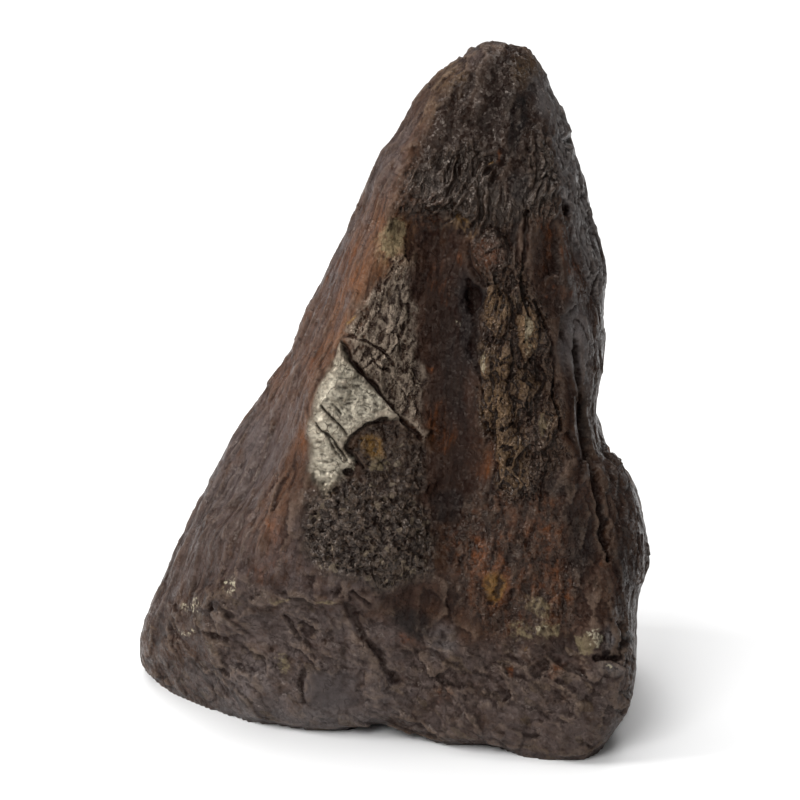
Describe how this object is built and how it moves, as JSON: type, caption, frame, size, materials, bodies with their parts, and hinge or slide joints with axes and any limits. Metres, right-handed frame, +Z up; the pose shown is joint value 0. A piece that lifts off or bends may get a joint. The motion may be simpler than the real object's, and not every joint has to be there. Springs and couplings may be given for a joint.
{
  "type": "meteorite",
  "caption": "Weathered stony meteorite, a tapering dark brown stone with worn ridges, cracks and pits, standing on its broad flat foot as a display specimen.",
  "frame": {"origin": "under the middle of the stone's box, on the surface that it stands on", "axes": "+Z up, along the stone's length, from the broad foot to the tip; -Y towards the side shown in the picture; +X to the right of that side"},
  "size_m": [0.1054, 0.0748, 0.1343],
  "materials": {
    "stone": "dark brown weathered stone with rust, grey metal sheen and a satin gloss"
  },
  "bodies": {
    "root": {"meteorite": "stone"}
  },
  "joints": []
}
